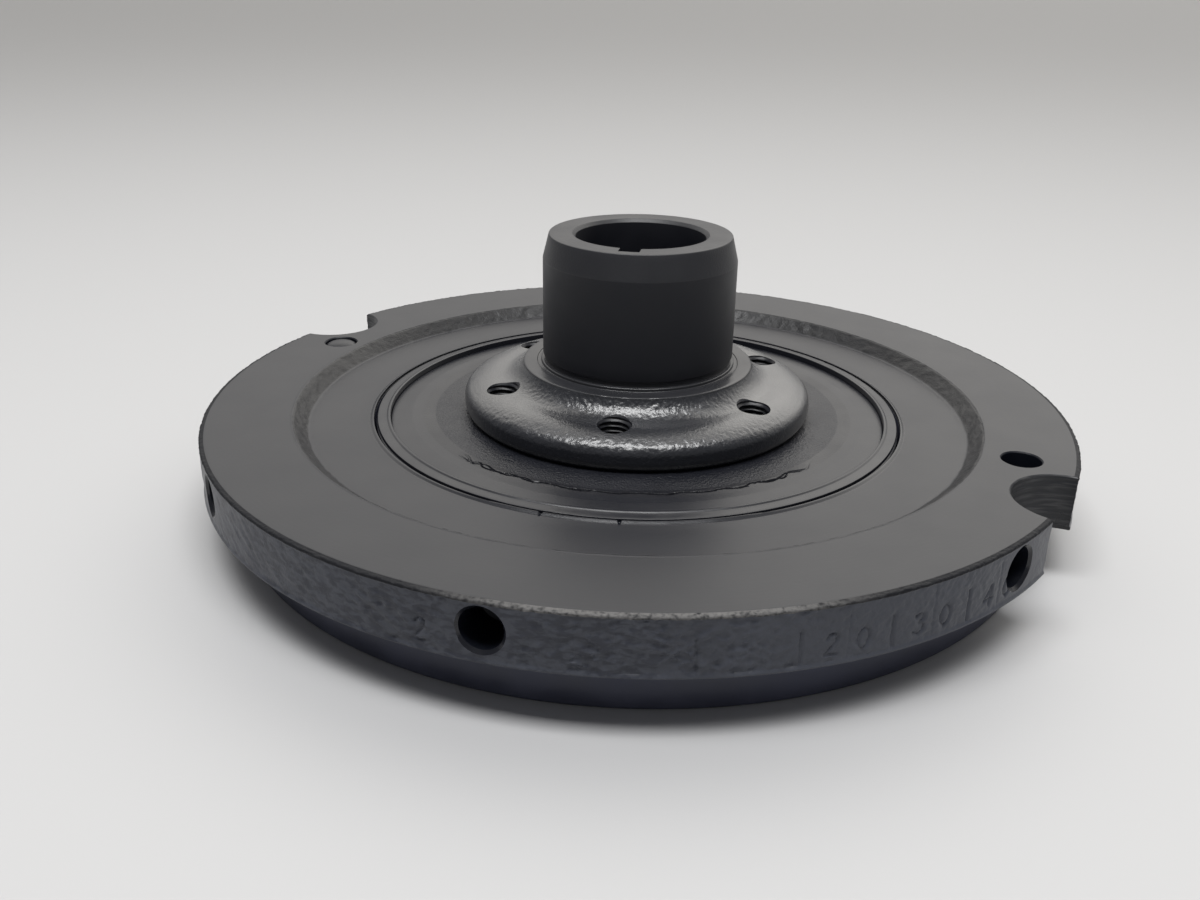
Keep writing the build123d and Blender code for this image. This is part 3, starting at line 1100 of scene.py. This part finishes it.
def set_camera():
    """The photograph's own view: 23.5 degrees down, from a little right of the keyway."""
    heading = math.radians(HEADING)
    pitch = math.radians(PITCH_DOWN)
    roll = math.radians(ROLL_RIGHT)
    forward = Vector(
        (math.cos(heading) * math.cos(pitch), math.sin(heading) * math.cos(pitch), -math.sin(pitch))
    )
    level = forward.cross(Vector((0, 0, 1))).normalized()
    right = level * math.cos(roll) + level.cross(forward) * math.sin(roll)
    up = right.cross(forward)
    data = bpy.data.cameras.new("camera")
    data.sensor_width = 36.0
    data.lens = LENS
    data.clip_start = 0.01
    data.clip_end = 100.0
    camera = bpy.data.objects.new("camera", data)
    turn = Matrix((right, up, -forward)).transposed().to_4x4()
    camera.matrix_world = Matrix.Translation(Vector(EYE) * MM) @ turn
    bpy.context.scene.collection.objects.link(camera)
    bpy.context.scene.camera = camera


def set_world():
    """A grey studio that glows behind the object, more so on the right and higher up."""
    world = bpy.data.worlds.new("studio")
    bpy.context.scene.world = world
    world.use_nodes = True
    nodes = world.node_tree.nodes
    links = world.node_tree.links
    parts = parts_of(nodes, links, nodes.new("ShaderNodeTexCoord").outputs["Generated"])

    def ramp(axis, low, high, start=0.0, end=1.0):
        """A soft step along one axis of the view's direction."""
        node = nodes.new("ShaderNodeMapRange")
        node.interpolation_type = "SMOOTHSTEP"
        node.inputs["From Min"].default_value = low
        node.inputs["From Max"].default_value = high
        node.inputs["To Min"].default_value = start
        node.inputs["To Max"].default_value = end
        links.new(parts[axis], node.inputs["Value"])
        return node.outputs[0]

    glow = combined(nodes, links, "ADD", ramp("X", -0.45, 0.25, 0.45, 0.78), ramp("Z", 0.3, 0.56, 0.0, 0.75))
    behind = product(nodes, links, ramp("Z", 0.08, 0.25), ramp("Y", 0.0, 0.85))
    amount = product(nodes, links, glow, behind)
    mix = nodes.new("ShaderNodeMix")
    mix.data_type = "RGBA"
    mix.clamp_factor = False
    mix.inputs[6].default_value = (0.17, 0.172, 0.18, 1)
    mix.inputs[7].default_value = (1.56, 1.52, 1.45, 1)
    links.new(amount, mix.inputs[0])
    links.new(mix.outputs[2], nodes["Background"].inputs["Color"])


def set_lamp():
    """One wide soft box overhead, a little in front of the object and turned to it."""
    forward = 0.24
    height = 1.08
    data = bpy.data.lights.new("overhead", "AREA")
    data.shape = "RECTANGLE"
    data.size = 0.9
    data.size_y = 0.4
    data.energy = 12.6
    lamp = bpy.data.objects.new("overhead", data)
    lamp.location = (0, -forward, height)
    lamp.rotation_euler = (math.atan2(forward, height), 0, 0)
    bpy.context.scene.collection.objects.link(lamp)


def make_floor():
    """A plain pale floor, so wide that its edges are out of sight."""
    size = 8.0
    corners = [(-size, -size, 0), (size, -size, 0), (size, size, 0), (-size, size, 0)]
    mesh = bpy.data.meshes.new("floor")
    mesh.from_pydata(corners, [], [(0, 1, 2, 3)])
    floor = bpy.data.objects.new("floor", mesh)
    bpy.context.scene.collection.objects.link(floor)
    material = bpy.data.materials.new("floor")
    material.use_nodes = True
    shader = material.node_tree.nodes["Principled BSDF"]
    shader.inputs["Base Color"].default_value = (0.5, 0.5, 0.503, 1)
    shader.inputs["Roughness"].default_value = 0.6
    mesh.materials.append(material)


bpy.context.scene.view_settings.view_transform = "Standard"
set_camera()
set_world()
set_lamp()
make_floor()
make_ring()
make_hub()
make_disc()
make_rubber()
make_pin()
